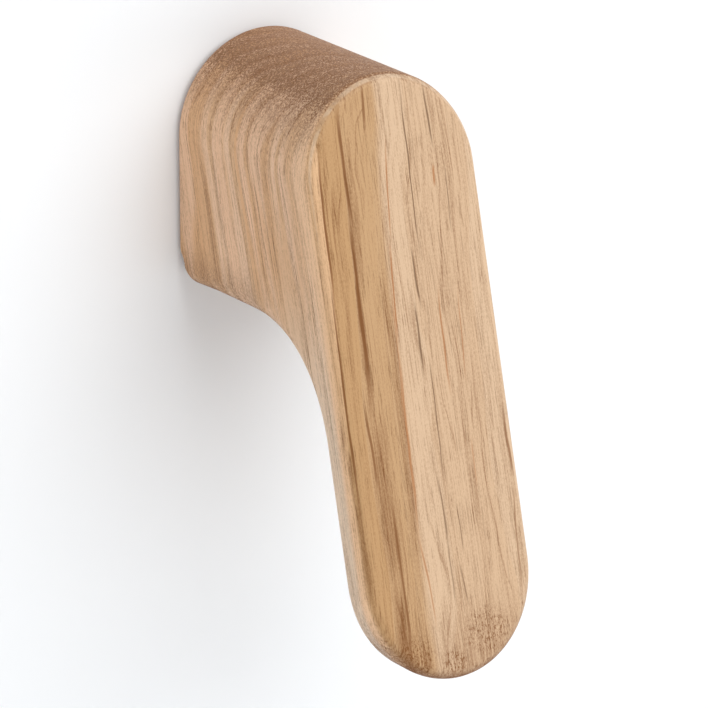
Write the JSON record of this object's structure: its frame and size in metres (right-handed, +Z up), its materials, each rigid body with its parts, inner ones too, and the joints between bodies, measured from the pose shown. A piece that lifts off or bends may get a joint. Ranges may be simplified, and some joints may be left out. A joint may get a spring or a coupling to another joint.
{
  "type": "door pull",
  "caption": "Solid oak door pull: a round-topped head fixed to the door and a flat, round-ended tongue leaning outwards for the fingers, with concealed M4 screws.",
  "frame": {"origin": "centre of the flat back face of the head, midway between the two mounting screws", "axes": "+Y into the door, square to the back face; +Z up along the length of the handle; +X to the right as seen by a person facing the door"},
  "size_m": [0.03, 0.0775, 0.0887],
  "materials": {
    "oak": "natural oak, sanded and oiled, satin",
    "insert_brass": "machined brass",
    "zinc_plated_steel": "bright zinc plate"
  },
  "bodies": {
    "root": {"oak_handle": "oak", "threaded_insert_upper": "insert_brass", "threaded_insert_lower": "insert_brass", "mounting_screw_upper": "zinc_plated_steel", "mounting_screw_lower": "zinc_plated_steel", "washer_upper": "zinc_plated_steel", "washer_lower": "zinc_plated_steel"}
  },
  "joints": []
}
